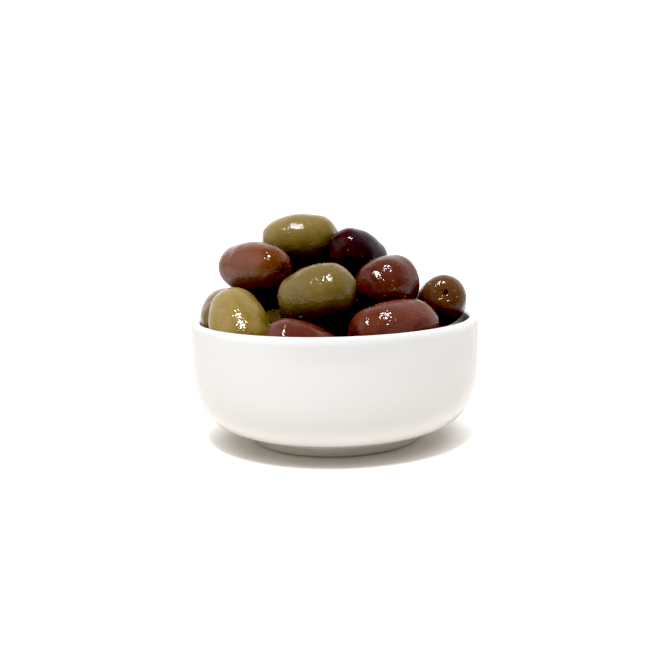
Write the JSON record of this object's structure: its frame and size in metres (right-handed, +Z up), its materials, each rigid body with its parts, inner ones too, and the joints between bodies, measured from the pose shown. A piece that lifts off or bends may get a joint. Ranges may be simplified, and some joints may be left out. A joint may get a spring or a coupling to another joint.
{
  "type": "dish of olives",
  "caption": "Small round glazed porcelain bowl on a low foot ring, heaped above its rim with mixed whole table olives.",
  "frame": {"origin": "centre of the ring that the bowl stands on, in the plane of the table", "axes": "+Z up along the bowl's axis, +X to the right and +Y away from the side that is served from"},
  "size_m": [0.09, 0.09, 0.0703],
  "materials": {
    "porcelain": "clear glossy glaze on white porcelain",
    "olive_skin": "oily smooth skin of a mixed heap",
    "olive_green": "oily skin, dull green to yellow green",
    "olive_brown": "oily skin, brown with mauve parts",
    "olive_purple": "oily skin, maroon to reddish purple",
    "olive_black": "oily skin, nearly black maroon",
    "herb": "wet dried herb and pepper flakes",
    "oil": "thin clear yellow oil"
  },
  "bodies": {
    "root": {"bowl": "porcelain", "olives": "olive_skin"}
  },
  "joints": []
}
